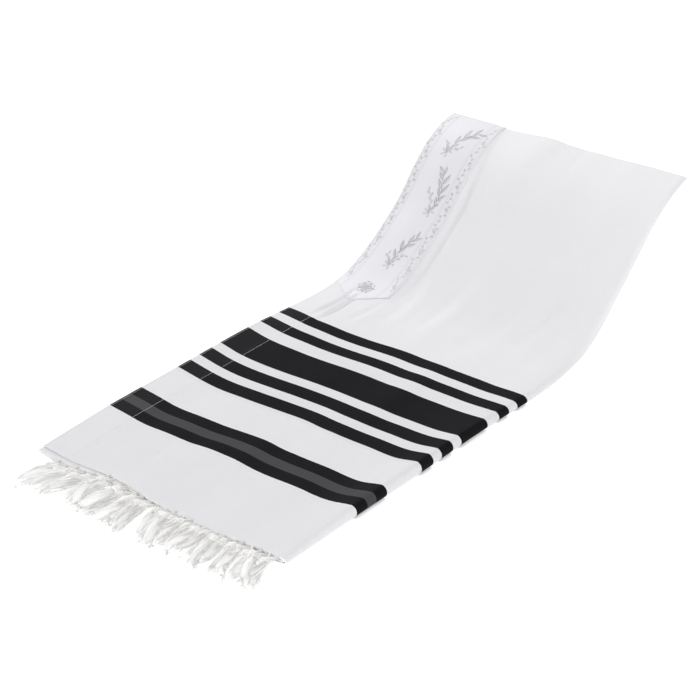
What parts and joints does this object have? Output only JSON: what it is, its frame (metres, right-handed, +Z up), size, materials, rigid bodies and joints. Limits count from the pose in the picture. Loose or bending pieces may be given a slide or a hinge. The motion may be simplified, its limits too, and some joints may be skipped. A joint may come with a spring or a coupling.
{
  "type": "tallit prayer shawl, folded",
  "caption": "White prayer shawl with black and grey stripes, a neck band and knotted fringe, folded across and lengthwise, its far end raised.",
  "frame": {"origin": "on the flat underside that rests on the surface, midway across the folded strip", "axes": "+Z up from the surface; +Y along the folded strip, from the fringed end to the raised cross fold; +X across the strip, from the neck edge to the lengthwise fold"},
  "size_m": [0.4156, 0.9383, 0.2077],
  "materials": {
    "white_wool": "matt woven wool",
    "white_wool_inside": "matt woven wool",
    "white_satin": "soft satin",
    "fringe_top_yarn": "matt wool yarn",
    "fringe_middle_yarn": "matt wool yarn",
    "fringe_bottom_yarn": "matt wool yarn"
  },
  "bodies": {
    "root": {"outer_cloth": "white_wool", "inner_layers": "white_wool_inside", "neck_band": "white_satin", "fringe_top": "fringe_top_yarn", "fringe_middle": "fringe_middle_yarn", "fringe_bottom": "fringe_bottom_yarn"}
  },
  "joints": []
}
